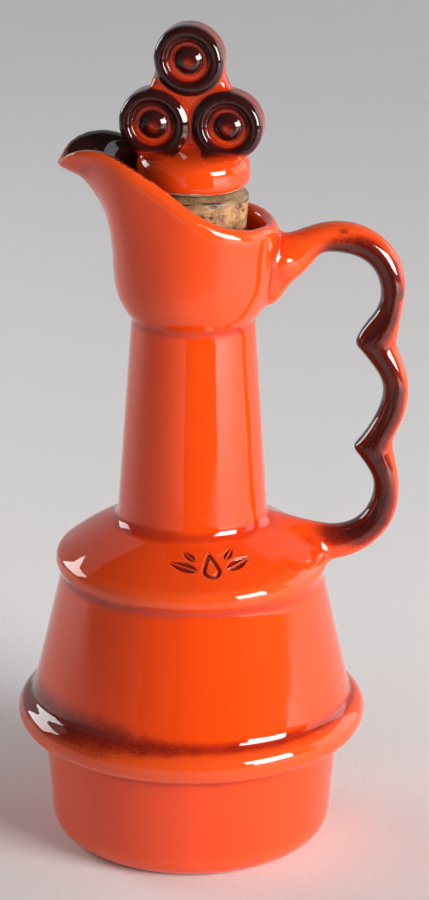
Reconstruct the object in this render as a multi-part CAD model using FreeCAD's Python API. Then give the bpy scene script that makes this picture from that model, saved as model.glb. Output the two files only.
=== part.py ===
import FreeCAD, Part
import math
import os

from FreeCAD import Vector

# Oil cruet with a scalloped handle and a knob stopper on a cork, in millimetres.
# The origin is the centre of the foot ring, +Z is up, the spout points to -X and the handle to +X.

# Foot and base wall
foot_ring_inner_radius = 23.5
foot_recess_height = 1.6
foot_recess_slope = 1.5
foot_radius = 34.2
foot_rounding = 6.3
base_height = 32.6
base_flare = 2.7

# Rolled bead round the widest place
bead_ring_radius = 38.7
bead_thickness = 8.6

# Conical belly above the bead
cone_height = 39.4
cone_foot_radius = 40.3
cone_top_radius = 31.3

# Shoulder with a rolled rim
shoulder_rim_thickness = 6.0
shoulder_rim_ring_radius = 30.5
shoulder_rise = 10.6
shoulder_dome = 0.6

# Neck
neck_foot_radius = 18.3
neck_top_radius = 14.8
neck_height = 51.5
neck_foot_rounding = 2.5

# Hollow inside
floor_thickness = 5.0
belly_wall = 4.0
shoulder_wall = 4.4
neck_wall = 3.6
inner_foot_rounding = 6.0

# Head: a cup that starts at a fold on the neck and flares into the spout
lip_thickness = 3.8
head_bulge_width = 5.5
head_bulge_height = 12.2
head_bulge_radius = 17.3
rim_radius = 18.4
rim_back_height = 23.2
spout_reach = 30.6

# Rim of the head, from the handle round to the spout: turn in degrees,
# reach beyond the cup's rim and rise above the rim at the handle
rim_stations = [
    (0.0, 0.0, 0.0),
    (34.0, 0.0, 0.5),
    (66.0, 0.0, 2.3),
    (93.0, 0.0, 6.9),
    (115.0, 0.3, 12.1),
    (134.0, 2.4, 16.1),
    (151.0, 5.6, 18.9),
    (166.5, 10.2, 18.1),
    (180.0, 12.2, 14.9),
]

# Handle: stations along three finger lobes, each (reach from the axis, height, thickness),
# with heights from the neck's top, from the middle between the cusps and from the neck's foot
handle_width = 8.4
cusp_reach = 43.6
cusp_thickness = 10.0
upper_cusp_drop = 7.5
lower_cusp_rise = 17.8
upper_lobe_stations = [
    (24.5, 16.1, 8.2),
    (33.0, 18.8, 7.5),
    (41.0, 17.0, 7.4),
    (45.7, 12.6, 6.8),
    (47.6, 6.2, 6.0),
    (46.6, -0.5, 6.4),
]
middle_lobe_stations = [
    (47.5, 7.0, 6.8),
    (48.9, 1.6, 6.3),
    (47.7, -5.0, 6.6),
]
lower_lobe_stations = [
    (46.3, 12.4, 6.8),
    (47.2, 6.7, 6.4),
    (45.2, -0.4, 7.2),
    (40.6, -4.9, 7.8),
    (34.5, -6.8, 9.2),
]
upper_root_inset = 2.0
upper_root_rise = 11.9
upper_root_height = 15.0
upper_root_width = 12.4
lower_root_inset = 0.5
lower_root_drop = 4.7
lower_root_height = 10.2
lower_root_width = 13.6
lower_web_reach = 6.2
lower_web_width = 15.0

# Cork
cork_length = 32.0
cork_top_radius = 13.1
cork_taper = 0.0735
cork_chamfer = 0.6
cork_reach_below_throat = 6.5
cork_seat_clearance = 0.08
throat_rise = 3.6
throat_seat_length = 8.6
throat_flare = 3.2

# Knob: a round foot, a web and three ringed lobes, alike at the front and the back
stopper_turn = -8.0
knob_foot_radius = 13.4
knob_foot_height = 8.6
knob_crown_height = 3.0
knob_crown_radius = 6.5
knob_foot_rounding = 2.2
knob_shoulder_rounding = 3.4
knob_peg_radius = 5.0
knob_peg_length = 12.0
knob_peg_clearance = 0.05
lobe_radius = 8.7
lobe_spread = 8.65
lower_lobe_rise = 16.3
upper_lobe_rise = 32.6
lobe_depth = 8.8
lobe_edge_depth = 3.4
lobe_bulge_radius = 7.0
moat_radius = 5.3
moat_depth = 5.2
inner_ring_radius = 4.4
inner_ring_depth = 6.2
inner_moat_radius = 3.5
dome_depth = 7.0
web_depth = 6.6
web_rounding = 2.6
web_waist = 6.6
web_set_in = 0.5

# Heights that the pieces share
bead_z = base_height
shoulder_rim_z = bead_z + cone_height
neck_foot_z = shoulder_rim_z + shoulder_rise
neck_top_z = neck_foot_z + neck_height
throat_z = neck_top_z + throat_rise
cork_bottom_z = throat_z - cork_reach_below_throat
cork_top_z = cork_bottom_z + cork_length


def cork_radius(z):
    """Radius of the tapered cork at a height."""
    return cork_top_radius - cork_taper * (cork_top_z - z)


def outline(points):
    """Closed outline of straight edges through points given as (radius, height)."""
    corners = [Vector(r, 0, z) for r, z in points]
    edges = [Part.LineSegment(a, b).toShape() for a, b in zip(corners, corners[1:] + corners[:1])]
    return Part.Wire(edges)


def turned(wire):
    """Solid made by turning a closed outline once round the Z axis."""
    return Part.Face(wire).revolve(Vector(0, 0, 0), Vector(0, 0, 1), 360)


def round_ring(solid, ring_radius, height, rounding):
    """Fillet the circular edge nearest to a radius and a height."""
    rings = [e for e in solid.Edges if isinstance(e.Curve, Part.Circle) and abs(e.Curve.Axis.z) > 0.9]
    nearest = min(rings, key=lambda e: math.hypot(e.Curve.Radius - ring_radius, e.Curve.Center.z - height))
    return solid.makeFillet(rounding, [nearest])


def meeting_point(start, end, centre, radius, above):
    """Where the line through two points crosses a circle, at the crossing above or below its centre."""
    along = (end - start).normalize()
    foot = start + along * (centre - start).dot(along)
    reach = math.sqrt(radius ** 2 - (foot - centre).Length ** 2)
    return foot + along * (reach if above else -reach)


def turned_body():
    """Turned outside of the body from the foot ring to the stub inside the head."""
    half_bead = bead_thickness / 2
    roll = shoulder_rim_thickness / 2
    bead_centre = Vector(bead_ring_radius, 0, bead_z)
    roll_centre = Vector(shoulder_rim_ring_radius, 0, shoulder_rim_z)
    base_foot = Vector(foot_radius, 0, 0)
    base_top = Vector(foot_radius + base_flare, 0, bead_z)
    cone_foot = Vector(cone_foot_radius, 0, bead_z)
    cone_top = Vector(cone_top_radius, 0, shoulder_rim_z)
    under_bead = meeting_point(base_foot, base_top, bead_centre, half_bead, False)
    over_bead = meeting_point(cone_foot, cone_top, bead_centre, half_bead, True)
    under_roll = meeting_point(cone_foot, cone_top, roll_centre, roll, False)
    crest = roll_centre + Vector(roll / 2, 0, roll * math.sqrt(3) / 2)
    neck_foot = Vector(neck_foot_radius, 0, neck_foot_z)
    slope = (neck_foot - crest).normalize()
    dome = (crest + neck_foot) / 2 + Vector(slope.z, 0, -slope.x) * shoulder_dome
    stub_z = throat_z + throat_flare
    stub_radius = neck_top_radius - (neck_foot_radius - neck_top_radius) * (stub_z - neck_top_z) / neck_height
    neck_and_foot = [
        neck_foot,
        Vector(stub_radius, 0, stub_z),
        Vector(0, 0, stub_z),
        Vector(0, 0, foot_recess_height),
        Vector(foot_ring_inner_radius - foot_recess_slope, 0, foot_recess_height),
        Vector(foot_ring_inner_radius, 0, 0),
        base_foot,
        under_bead,
    ]
    edges = [Part.LineSegment(a, b).toShape() for a, b in zip(neck_and_foot, neck_and_foot[1:])]
    edges.append(Part.Arc(under_bead, bead_centre + Vector(half_bead, 0, 0), over_bead).toShape())
    edges.append(Part.LineSegment(over_bead, under_roll).toShape())
    edges.append(Part.Arc(under_roll, roll_centre + Vector(roll, 0, 0), crest).toShape())
    edges.append(Part.Arc(crest, dome, neck_foot).toShape())
    body = turned(Part.Wire(edges))
    body = round_ring(body, foot_radius, 0, foot_rounding)
    return round_ring(body, neck_foot_radius, neck_foot_z, neck_foot_rounding)


def hollow():
    """Turned space inside: belly, neck bore, tapered cork seat and flared throat."""
    seat_foot_z = throat_z - throat_seat_length
    cone_slope = (cone_foot_radius - cone_top_radius) / cone_height
    inner_shoulder_z = shoulder_rim_z - shoulder_rim_thickness / 4
    inner_shoulder_radius = cone_top_radius - belly_wall + cone_slope * (shoulder_rim_z - inner_shoulder_z)
    flare_top = Vector(cork_radius(throat_z) + cork_seat_clearance + throat_flare, 0, throat_z + throat_flare)
    throat = Vector(cork_radius(throat_z) + cork_seat_clearance, 0, throat_z)
    turn = throat_flare * (1 - math.sqrt(0.5))
    flare_middle = Vector(throat.x + turn, 0, throat.z + throat_flare - turn)
    corners = [
        flare_top,
        Vector(0, 0, flare_top.z),
        Vector(0, 0, floor_thickness),
        Vector(foot_radius - belly_wall, 0, floor_thickness),
        Vector(foot_radius + base_flare - belly_wall, 0, bead_z),
        Vector(cone_foot_radius - belly_wall - cone_slope * bead_thickness / 2, 0, bead_z + bead_thickness / 2),
        Vector(inner_shoulder_radius, 0, inner_shoulder_z),
        Vector(neck_foot_radius - neck_wall, 0, neck_foot_z - shoulder_wall / 2),
        Vector(cork_radius(seat_foot_z) + cork_seat_clearance, 0, seat_foot_z),
        throat,
    ]
    edges = [Part.LineSegment(a, b).toShape() for a, b in zip(corners, corners[1:])]
    edges.append(Part.Arc(throat, flare_middle, flare_top).toShape())
    space = turned(Part.Wire(edges))
    return round_ring(space, foot_radius - belly_wall, floor_thickness, inner_foot_rounding)


def head_wall_middle(progress, crest_radius, crest_z):
    """Middle of the head's wall: an ellipse quarter up to 1, then the flare up to the crest at 2."""
    bulge_z = neck_top_z + head_bulge_height
    if progress <= 1:
        turn = math.radians(90 * progress)
        radius = head_bulge_radius - head_bulge_width * (1 - math.sin(turn))
        return Vector(radius, 0, bulge_z - head_bulge_height * math.cos(turn))
    rise = min(progress - 1, 1)
    flare = (crest_radius - rim_radius) / (spout_reach - rim_radius)
    spread = (1 - flare) * rise + flare * (1 - math.sqrt(1 - rise ** 2))
    radius = head_bulge_radius + (crest_radius - head_bulge_radius) * spread
    return Vector(radius, 0, bulge_z + (crest_z - bulge_z) * rise)


def head_section(turn, crest_radius, crest_z):
    """Loop of points round the head's wall in the half plane at one turn about the Z axis."""
    half = lip_thickness / 2
    step = 0.02
    outside = []
    inside = []
    for progress in (0.14, 0.5, 0.84, 1.25, 1.6, 1.88, 2.0 - step):
        middle = head_wall_middle(progress, crest_radius, crest_z)
        along = head_wall_middle(progress + step, crest_radius, crest_z) - middle
        along.normalize()
        across = Vector(along.z, 0, -along.x) * half
        outside.append(middle + across)
        inside.append(middle - across)
    lip = head_wall_middle(2, crest_radius, crest_z) + along * half
    loop = outside + [lip] + inside[::-1]
    rotation = FreeCAD.Rotation(Vector(0, 0, 1), turn)
    return [rotation.multVec(point) for point in loop]


def poles_through(ring):
    """Poles of a closed uniform cubic spline that passes through each point of a ring."""
    poles = list(ring)
    for _ in range(30):
        following = poles[1:] + poles[:1]
        before = poles[-1:] + poles[:-1]
        reached = [(b + p * 4 + f) / 6 for b, p, f in zip(before, poles, following)]
        poles = [p + target - r for p, target, r in zip(poles, ring, reached)]
    return poles


def closed_skin(sections):
    """Solid ring bounded by one smooth surface through closed sections, the last joined to the first."""
    grid = [poles_through(section) for section in sections]
    columns = [poles_through(list(column)) for column in zip(*grid)]
    grid = [list(row) for row in zip(*columns)]
    around, along = len(grid), len(grid[0])
    surface = Part.BSplineSurface()
    surface.buildFromPolesMultsKnots(
        grid,
        [1] * (around + 1),
        [1] * (along + 1),
        list(range(around + 1)),
        list(range(along + 1)),
        True,
        True,
        3,
        3,
    )
    return Part.makeSolid(Part.makeShell([surface.toShape()]))


def head():
    """Cup with a pouring spout: its wall runs round the axis and rolls over at the lip."""
    crest_z = neck_top_z + rim_back_height - lip_thickness / 2
    stations = [(turn, rim_radius + reach, crest_z + rise) for turn, reach, rise in rim_stations]
    other_side = [(-turn, radius, z) for turn, radius, z in reversed(stations[1:-1])]
    return closed_skin([head_section(*station) for station in stations + other_side])


def handle_loop(centre, across, thickness, width):
    """Oval cross-section of the handle as a closed spline."""
    count = 12
    points = []
    for index in range(count):
        turn = 2 * math.pi * index / count
        sideways = Vector(0, math.sin(turn) * width / 2, 0)
        points.append(centre + across * (math.cos(turn) * thickness / 2) + sideways)
    curve = Part.BSplineCurve()
    parameters = [index / count for index in range(count + 1)]
    curve.interpolate(Points=points, PeriodicFlag=True, Parameters=parameters)
    return Part.Wire([curve.toShape()])


def lobe(first, stations, last):
    """Loft of one finger lobe between two end sections given as (centre, across, thickness, width)."""
    centres = [first[0]] + [Vector(reach, 0, z) for reach, z, _ in stations] + [last[0]]
    loops = [handle_loop(*first)]
    for before, here, after, station in zip(centres, centres[1:], centres[2:], stations):
        along = (after - before).normalize()
        loops.append(handle_loop(here, Vector(-along.z, 0, along.x), station[2], handle_width))
    loops.append(handle_loop(*last))
    return Part.makeLoft(loops, True, False)


def handle():
    """Handle of three finger lobes that meet at two inner cusps, with flared roots."""
    upper_cusp_z = neck_top_z - upper_cusp_drop
    lower_cusp_z = neck_foot_z + lower_cusp_rise
    middle_z = (upper_cusp_z + lower_cusp_z) / 2
    up = Vector(0, 0, 1)
    out = Vector(1, 0, 0)
    upper_cusp = (Vector(cusp_reach, 0, upper_cusp_z), out, cusp_thickness, handle_width)
    lower_cusp = (Vector(cusp_reach, 0, lower_cusp_z), out, cusp_thickness, handle_width)
    upper_root_x = head_bulge_radius + lip_thickness / 2 - upper_root_inset
    upper_root_centre = Vector(upper_root_x, 0, neck_top_z + upper_root_rise)
    upper_root = (upper_root_centre, up, upper_root_height, upper_root_width)
    lower_root_centre = Vector(neck_foot_radius + lower_root_inset, 0, neck_foot_z - lower_root_drop)
    lower_root = (lower_root_centre, -up, lower_root_height, lower_root_width)
    upper = [(reach, neck_top_z + rise, thickness) for reach, rise, thickness in upper_lobe_stations]
    middle = [(reach, middle_z + rise, thickness) for reach, rise, thickness in middle_lobe_stations]
    lower = [(reach, neck_foot_z + rise, thickness) for reach, rise, thickness in lower_lobe_stations]
    return [
        lobe(upper_root, upper, upper_cusp),
        lobe(upper_cusp, middle, lower_cusp),
        lobe(lower_cusp, lower, lower_root),
    ]


def cruet_body():
    """Slip-cast body in one piece: foot, belly, shoulder, neck, head with spout, and handle."""
    body = turned_body().fuse([head()] + handle())
    return body.cut(hollow())


def stopper_cork():
    """Tapered cork with chamfered ends and a hole for the knob's peg."""
    bottom_radius = cork_radius(cork_bottom_z)
    cork = Part.makeCone(bottom_radius, cork_top_radius, cork_length, Vector(0, 0, cork_bottom_z))
    ends = [edge for edge in cork.Edges if isinstance(edge.Curve, Part.Circle)]
    cork = cork.makeChamfer(cork_chamfer, ends)
    hole_depth = knob_peg_length + knob_peg_clearance
    hole_radius = knob_peg_radius + knob_peg_clearance
    return cork.cut(Part.makeCylinder(hole_radius, hole_depth, Vector(0, 0, cork_top_z - hole_depth)))


def knob_lobe(x, z):
    """Round lobe with a dome, a ring and a bulging edge on both faces, turned about its own Y axis."""
    stops = [
        (0, dome_depth / 2),
        (inner_moat_radius / 2, dome_depth / 2 - (dome_depth - moat_depth) / 8),
        (inner_moat_radius, moat_depth / 2),
        (inner_ring_radius, inner_ring_depth / 2),
        (moat_radius, moat_depth / 2),
        (lobe_bulge_radius, lobe_depth / 2),
        (lobe_radius, lobe_edge_depth / 2),
    ]
    front = [Vector(radius, -depth, 0) for radius, depth in stops]
    back = [Vector(radius, depth, 0) for radius, depth in stops]
    edges = [Part.LineSegment(front[-1], back[-1]).toShape(), Part.LineSegment(back[0], front[0]).toShape()]
    for side in (front, back):
        for start, middle, end in zip(side[0::2], side[1::2], side[2::2]):
            edges.append(Part.Arc(start, middle, end).toShape())
    face = Part.Face(Part.Wire(Part.__sortEdges__(edges)))
    solid = face.revolve(Vector(0, 0, 0), Vector(0, 1, 0), 360)
    solid.translate(Vector(x, 0, z))
    return solid


def web_side(start, end):
    """Outline between two lobe centres that dips to the web's waist in an arc just inside both lobes."""
    along = end - start
    half = along.Length / 2
    along.normalize()
    outward = Vector(-along.z, 0, along.x)
    waist = web_waist / 2
    reach = lobe_radius - web_set_in
    arc_radius = (half ** 2 + waist ** 2 - reach ** 2) / (2 * (reach - waist))
    middle = start + along * half
    arc_centre = middle + outward * (waist + arc_radius)
    share = reach / (reach + arc_radius)
    first = start + (arc_centre - start) * share
    second = end + (arc_centre - end) * share
    return [
        Part.LineSegment(start, first).toShape(),
        Part.Arc(first, middle + outward * waist, second).toShape(),
        Part.LineSegment(second, end).toShape(),
    ]


def knob_web(left, top, right):
    """Plate that joins the three lobes and the foot, with rounded edges where it dips between lobes."""
    right_foot = Vector(right.x, 0, knob_foot_height)
    left_foot = Vector(left.x, 0, knob_foot_height)
    edges = web_side(left, top) + web_side(top, right)
    for start, end in ((right, right_foot), (right_foot, left_foot), (left_foot, left)):
        edges.append(Part.LineSegment(start, end).toShape())
    plate = Part.Face(Part.Wire(edges)).extrude(Vector(0, web_depth, 0))
    plate.translate(Vector(0, -web_depth / 2, 0))
    arcs = [edge for edge in plate.Edges if isinstance(edge.Curve, Part.Circle)]
    return plate.makeFillet(web_rounding, arcs)


def knob_foot():
    """Round foot of the knob, with a low crown that carries the lobes."""
    points = [
        (0, 0),
        (knob_foot_radius, 0),
        (knob_foot_radius, knob_foot_height),
        (knob_crown_radius, knob_foot_height + knob_crown_height),
        (0, knob_foot_height + knob_crown_height),
    ]
    foot = turned(outline(points))
    foot = round_ring(foot, knob_foot_radius, 0, knob_foot_rounding)
    return round_ring(foot, knob_foot_radius, knob_foot_height, knob_shoulder_rounding)


def stopper_knob():
    """Glazed knob: foot on the cork, peg in its hole, and three ringed lobes in a trefoil."""
    left = Vector(-lobe_spread, 0, lower_lobe_rise)
    right = Vector(lobe_spread, 0, lower_lobe_rise)
    top = Vector(0, 0, upper_lobe_rise)
    peg = Part.makeCylinder(knob_peg_radius, knob_peg_length, Vector(0, 0, -knob_peg_length))
    lobes = [knob_lobe(centre.x, centre.z) for centre in (left, top, right)]
    knob = knob_foot().fuse([peg, knob_web(left, top, right)] + lobes)
    knob.rotate(Vector(0, 0, 0), Vector(0, 0, 1), stopper_turn)
    knob.translate(Vector(0, 0, cork_top_z))
    return knob


os.makedirs("parts", exist_ok=True)
for name, shape in (
    ("cruet_body", cruet_body()),
    ("stopper_cork", stopper_cork()),
    ("stopper_knob", stopper_knob()),
):
    box = shape.BoundBox
    print(name, "solids", len(shape.Solids), "valid", shape.isValid(), "volume", round(shape.Volume))
    print("  x %.1f %.1f  y %.1f %.1f  z %.1f %.1f" % (box.XMin, box.XMax, box.YMin, box.YMax, box.ZMin, box.ZMax))
    shape.exportStep("parts/%s.step" % name)
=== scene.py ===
"""Looks of a glazed oil cruet: orange-red glaze with a brown spray, a ringed knob and its cork."""

import logging
import math
from collections.abc import Sequence
from dataclasses import dataclass, field
from enum import Enum
from typing import TypeAlias

import bmesh
import bpy
import numpy as np
from mathutils import Matrix, Vector


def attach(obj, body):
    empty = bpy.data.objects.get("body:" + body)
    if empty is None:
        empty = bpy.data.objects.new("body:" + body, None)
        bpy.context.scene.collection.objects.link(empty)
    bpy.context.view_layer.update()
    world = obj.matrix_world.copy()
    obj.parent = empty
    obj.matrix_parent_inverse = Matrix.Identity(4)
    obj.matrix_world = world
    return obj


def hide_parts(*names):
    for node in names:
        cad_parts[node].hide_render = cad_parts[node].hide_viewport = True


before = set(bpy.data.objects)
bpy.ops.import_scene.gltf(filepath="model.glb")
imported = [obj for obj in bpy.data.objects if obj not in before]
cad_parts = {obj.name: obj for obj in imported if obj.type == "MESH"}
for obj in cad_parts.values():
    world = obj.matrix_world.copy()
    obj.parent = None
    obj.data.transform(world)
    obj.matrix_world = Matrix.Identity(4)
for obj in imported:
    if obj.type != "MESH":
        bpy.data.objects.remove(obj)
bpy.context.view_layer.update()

MM = 0.001
QUARTER = math.pi / 2
LOG = logging.getLogger("cruet")

Colour: TypeAlias = tuple[float, float, float]
Place: TypeAlias = tuple[float, float, float]
Pair: TypeAlias = tuple[float, float]
Array: TypeAlias = np.ndarray
Outline: TypeAlias = Sequence[Sequence[float]]
Shell: TypeAlias = bmesh.types.BMesh
Value: TypeAlias = "Wire | float | Sequence[float]"


class Layer(Enum):
    """The numbers that a mesh keeps at its vertices for its material."""

    SPRAY = "spray"
    # Darker in folds: glaze lying thick there, and painted crease shade.
    POOL_AND_SHADE = "pool_and_shade"
    EDGE = "edge"
    BARE = "bare"
    STAIN = "stain"
    PIT = "pit"


class Wire:
    """A number that runs through a material's nodes, so that sums are written as plain expressions."""

    def __init__(self, board: "Board", socket: bpy.types.NodeSocket | None) -> None:
        """Wrap one output socket of a board's node."""
        self.board = board
        self.socket = socket

    def _sum(self, operation: str, *values: "Value") -> "Wire":
        """Add a Math node over values and return its result."""
        return self.board.node("ShaderNodeMath", {"operation": operation}, dict(enumerate(values)))

    def __add__(self, other: "Value") -> "Wire":
        """Return self + other."""
        return self._sum("ADD", self, other)

    def __sub__(self, other: "Value") -> "Wire":
        """Return self - other."""
        return self._sum("SUBTRACT", self, other)

    def __rsub__(self, other: "Value") -> "Wire":
        """Return other - self."""
        return self._sum("SUBTRACT", other, self)

    def __mul__(self, other: "Value") -> "Wire":
        """Return self * other."""
        return self._sum("MULTIPLY", self, other)

    __radd__ = __add__
    __rmul__ = __mul__

    def most(self, other: "Value") -> "Wire":
        """Return the greater of self and other."""
        return self._sum("MAXIMUM", self, other)

    def between(self, low: float, high: float) -> "Wire":
        """Return a smooth step from 0 at low to 1 at high, which falls where high is below low."""
        inputs = {"Value": self, "From Min": low, "From Max": high}
        return self.board.node("ShaderNodeMapRange", {"interpolation_type": "SMOOTHSTEP"}, inputs)


class Board:
    """The nodes of one material."""

    def __init__(self, name: str) -> None:
        """Start a material with an empty node tree."""
        self.material = bpy.data.materials.new(name)
        self.material.use_nodes = True
        self.tree = self.material.node_tree
        self.tree.nodes.clear()

    def node(
        self,
        kind: str,
        settings: dict[str, object] | None = None,
        inputs: dict[str | int, "Value"] | None = None,
        output: str | int = 0,
    ) -> Wire:
        """Add a node and wire it up.

        Args:
            kind: Type of the node.
            settings: Properties that are set first.
            inputs: Values or wires by the socket's name or number.
            output: Which output to return.

        Returns:
            The chosen output as a wire, which is an empty one where the node has no output.
        """
        made = self.tree.nodes.new(kind)
        for name, setting in (settings or {}).items():
            setattr(made, name, setting)
        for name, given in (inputs or {}).items():
            if isinstance(given, Wire):
                self.tree.links.new(given.socket, made.inputs[name])
            elif isinstance(given, tuple) and made.inputs[name].type == "RGBA":
                made.inputs[name].default_value = (*given, 1.0)
            else:
                made.inputs[name].default_value = given
        return Wire(self, made.outputs[output] if made.outputs else None)

    def place(self) -> Wire:
        """Return the place on the object, in metres."""
        return self.node("ShaderNodeTexCoord", None, None, "Object")

    def drawn(self, layer: Layer) -> Wire:
        """Return a number that is kept at each vertex of the mesh."""
        return self.node("ShaderNodeAttribute", {"attribute_name": layer.value}, None, "Fac")

    def noise(self, size: float, detail: float, rough: float = 0.5, stretch: Place = (1, 1, 1)) -> Wire:
        """Return soft noise.

        Args:
            size: Width of its blotches in metres.
            detail: How many finer layers it has.
            rough: How strong the finer layers are.
            stretch: Scale along each axis; under 1 draws it out.

        Returns:
            Noise around 0.5.
        """
        spread = self.node("ShaderNodeVectorMath", {"operation": "MULTIPLY"}, {0: self.place(), 1: stretch})
        inputs = {"Vector": spread, "Scale": 1 / size, "Detail": detail, "Roughness": rough}
        return self.node("ShaderNodeTexNoise", None, inputs, "Fac")

    def blend(self, share: "Value", first: "Value", second: "Value") -> Wire:
        """Return a mix of two colours, where share is how much of the second shows."""
        return self.node("ShaderNodeMix", {"data_type": "RGBA"}, {0: share, 6: first, 7: second}, 2)

    def bump(self, height: Wire, depth: float, after: Wire | None = None) -> Wire:
        """Return a normal that is tilted by a height.

        Args:
            height: Height from 0 to 1.
            depth: What 1 stands for, in metres.
            after: Normal that the tilt is added to.

        Returns:
            The tilted normal.
        """
        inputs = {"Height": height, "Distance": depth, "Strength": 1.0}
        if after is not None:
            inputs["Normal"] = after
        return self.node("ShaderNodeBump", None, inputs)

    def finish(self, **inputs: "Value") -> bpy.types.Material:
        """End the tree in one shader.

        Args:
            **inputs: Sockets of the shader, with _ for each space in their names.

        Returns:
            The finished material.
        """
        named = {name.replace("_", " "): given for name, given in inputs.items()}
        shader = self.node("ShaderNodeBsdfPrincipled", None, named)
        self.node("ShaderNodeOutputMaterial", None, {"Surface": shader})
        return self.material


@dataclass(frozen=True)
class Glaze:
    """Glossy coloured glaze with a brown spray over it. Sizes are in metres."""

    name: str = "orange_glaze"
    bright: Colour = (0.92, 0.068, 0.005)
    # deep: the colour of folds, both thick glaze and painted crease shade
    deep: Colour = (0.60, 0.028, 0.004)
    thin: Colour = (0.95, 0.105, 0.016)
    spray: Colour = (0.028, 0.005, 0.004)
    haze: Colour = (0.26, 0.012, 0.004)
    clay: Colour = (0.62, 0.50, 0.42)
    stained_clay: Colour = (0.30, 0.17, 0.10)
    pinhole_rim: Colour = (0.93, 0.45, 0.30)
    pinhole_spacing: float = 0.011
    roughness: float = 0.03
    wave_depth: float = 0.00024
    ripple_depth: float = 0.000008
    pinhole_depth: float = 0.00008

    def material(self) -> bpy.types.Material:
        """Make the glaze: darker where it lies thick in folds, which also paints crease shade there, thin on
        edges, speckled where the spray fades out.

        Returns:
            The glaze.
        """
        board = Board(self.name)
        mottle = board.noise(0.014, 3.0, 0.55)
        fine = board.noise(0.0022, 2.0, 0.6)
        # Folds turn deep: thick glaze, together with painted crease shade.
        pooled_and_shaded = board.drawn(Layer.POOL_AND_SHADE) * 0.8 + (mottle - 0.5) * 0.5 + (fine - 0.5) * 0.15
        colour = board.blend(pooled_and_shaded.between(0.05, 1.1), self.bright, self.deep)
        worn = (board.drawn(Layer.EDGE) + (mottle - 0.5) * 0.4).between(0.2, 1.1)
        colour = board.blend(worn * 0.6, colour, self.thin)
        grain = board.noise(0.00042, 1.0)
        cloud = board.noise(0.005, 3.0, 0.6)
        mist = board.drawn(Layer.SPRAY)
        loose = mist.between(0.0, 0.25) * mist.between(1.0, 0.7)
        mist = mist + ((cloud - 0.5) * 0.35 + (grain - 0.5) * 0.38) * loose
        colour = board.blend(mist.between(0.04, 0.6) * 0.9, colour, self.haze)
        colour = board.blend(mist.between(0.34, 1.0), colour, self.spray)
        places = {"Vector": board.place(), "Scale": 1 / self.pinhole_spacing}
        pinhole = board.node("ShaderNodeTexVoronoi", None, places, "Distance").between(0.018, 0.010)
        colour = board.blend(pinhole * 0.7, colour, self.pinhole_rim)
        bare = board.drawn(Layer.BARE)
        body = board.blend(fine.between(0.4, 0.7), self.clay, self.stained_clay)
        colour = board.blend(bare, colour, body)
        sheen = self.roughness + (mottle - 0.5) * 0.02 + pinhole * 0.4 + bare * 0.6
        normal = board.bump(board.noise(0.012, 1.0, 0.4, (1, 1, 0.3)), self.wave_depth)
        normal = board.bump(board.noise(0.0028, 2.0), self.ripple_depth, normal)
        normal = board.bump(1 - pinhole, self.pinhole_depth, normal)
        return board.finish(Base_Color=colour, Roughness=sheen, Normal=normal, IOR=1.6)


@dataclass(frozen=True)
class CorkBark:
    """Natural cork: warm tan, pitted, with an oil-stained band at the top."""

    name: str = "natural_cork"
    light: Colour = (0.56, 0.31, 0.135)
    dark: Colour = (0.17, 0.066, 0.022)
    stain: Colour = (0.12, 0.070, 0.028)
    light_stain: Colour = (0.30, 0.19, 0.085)
    vein: Colour = (0.030, 0.016, 0.008)
    pit: Colour = (0.06, 0.025, 0.010)

    def material(self) -> bpy.types.Material:
        """Make the cork with its grain, pits and stain.

        Returns:
            The cork.
        """
        board = Board(self.name)
        grain = board.noise(0.0030, 4.0, 0.65)
        cells = board.noise(0.0006, 2.0, 0.6)
        streak = board.noise(0.0050, 3.0, 0.6, (0.4, 0.4, 3.0))
        stain = board.drawn(Layer.STAIN)
        shade = (grain * 0.65 + cells * 0.35).between(0.33, 0.60)
        colour = board.blend(shade, self.dark, self.light)
        soaked = board.blend(grain.between(0.3, 0.7), self.stain, self.light_stain)
        colour = board.blend(stain * 0.85, colour, soaked)
        colour = board.blend(streak.between(0.52, 0.60) * (stain * 0.75 + 0.25), colour, self.vein)
        colour = board.blend(board.drawn(Layer.PIT), colour, self.pit)
        rough = 0.62 - stain * 0.25 + (cells - 0.5) * 0.2
        normal = board.bump(grain, 0.0003, board.bump(cells, 0.00018))
        return board.finish(Base_Color=colour, Roughness=rough, Normal=normal, IOR=1.45)


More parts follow.
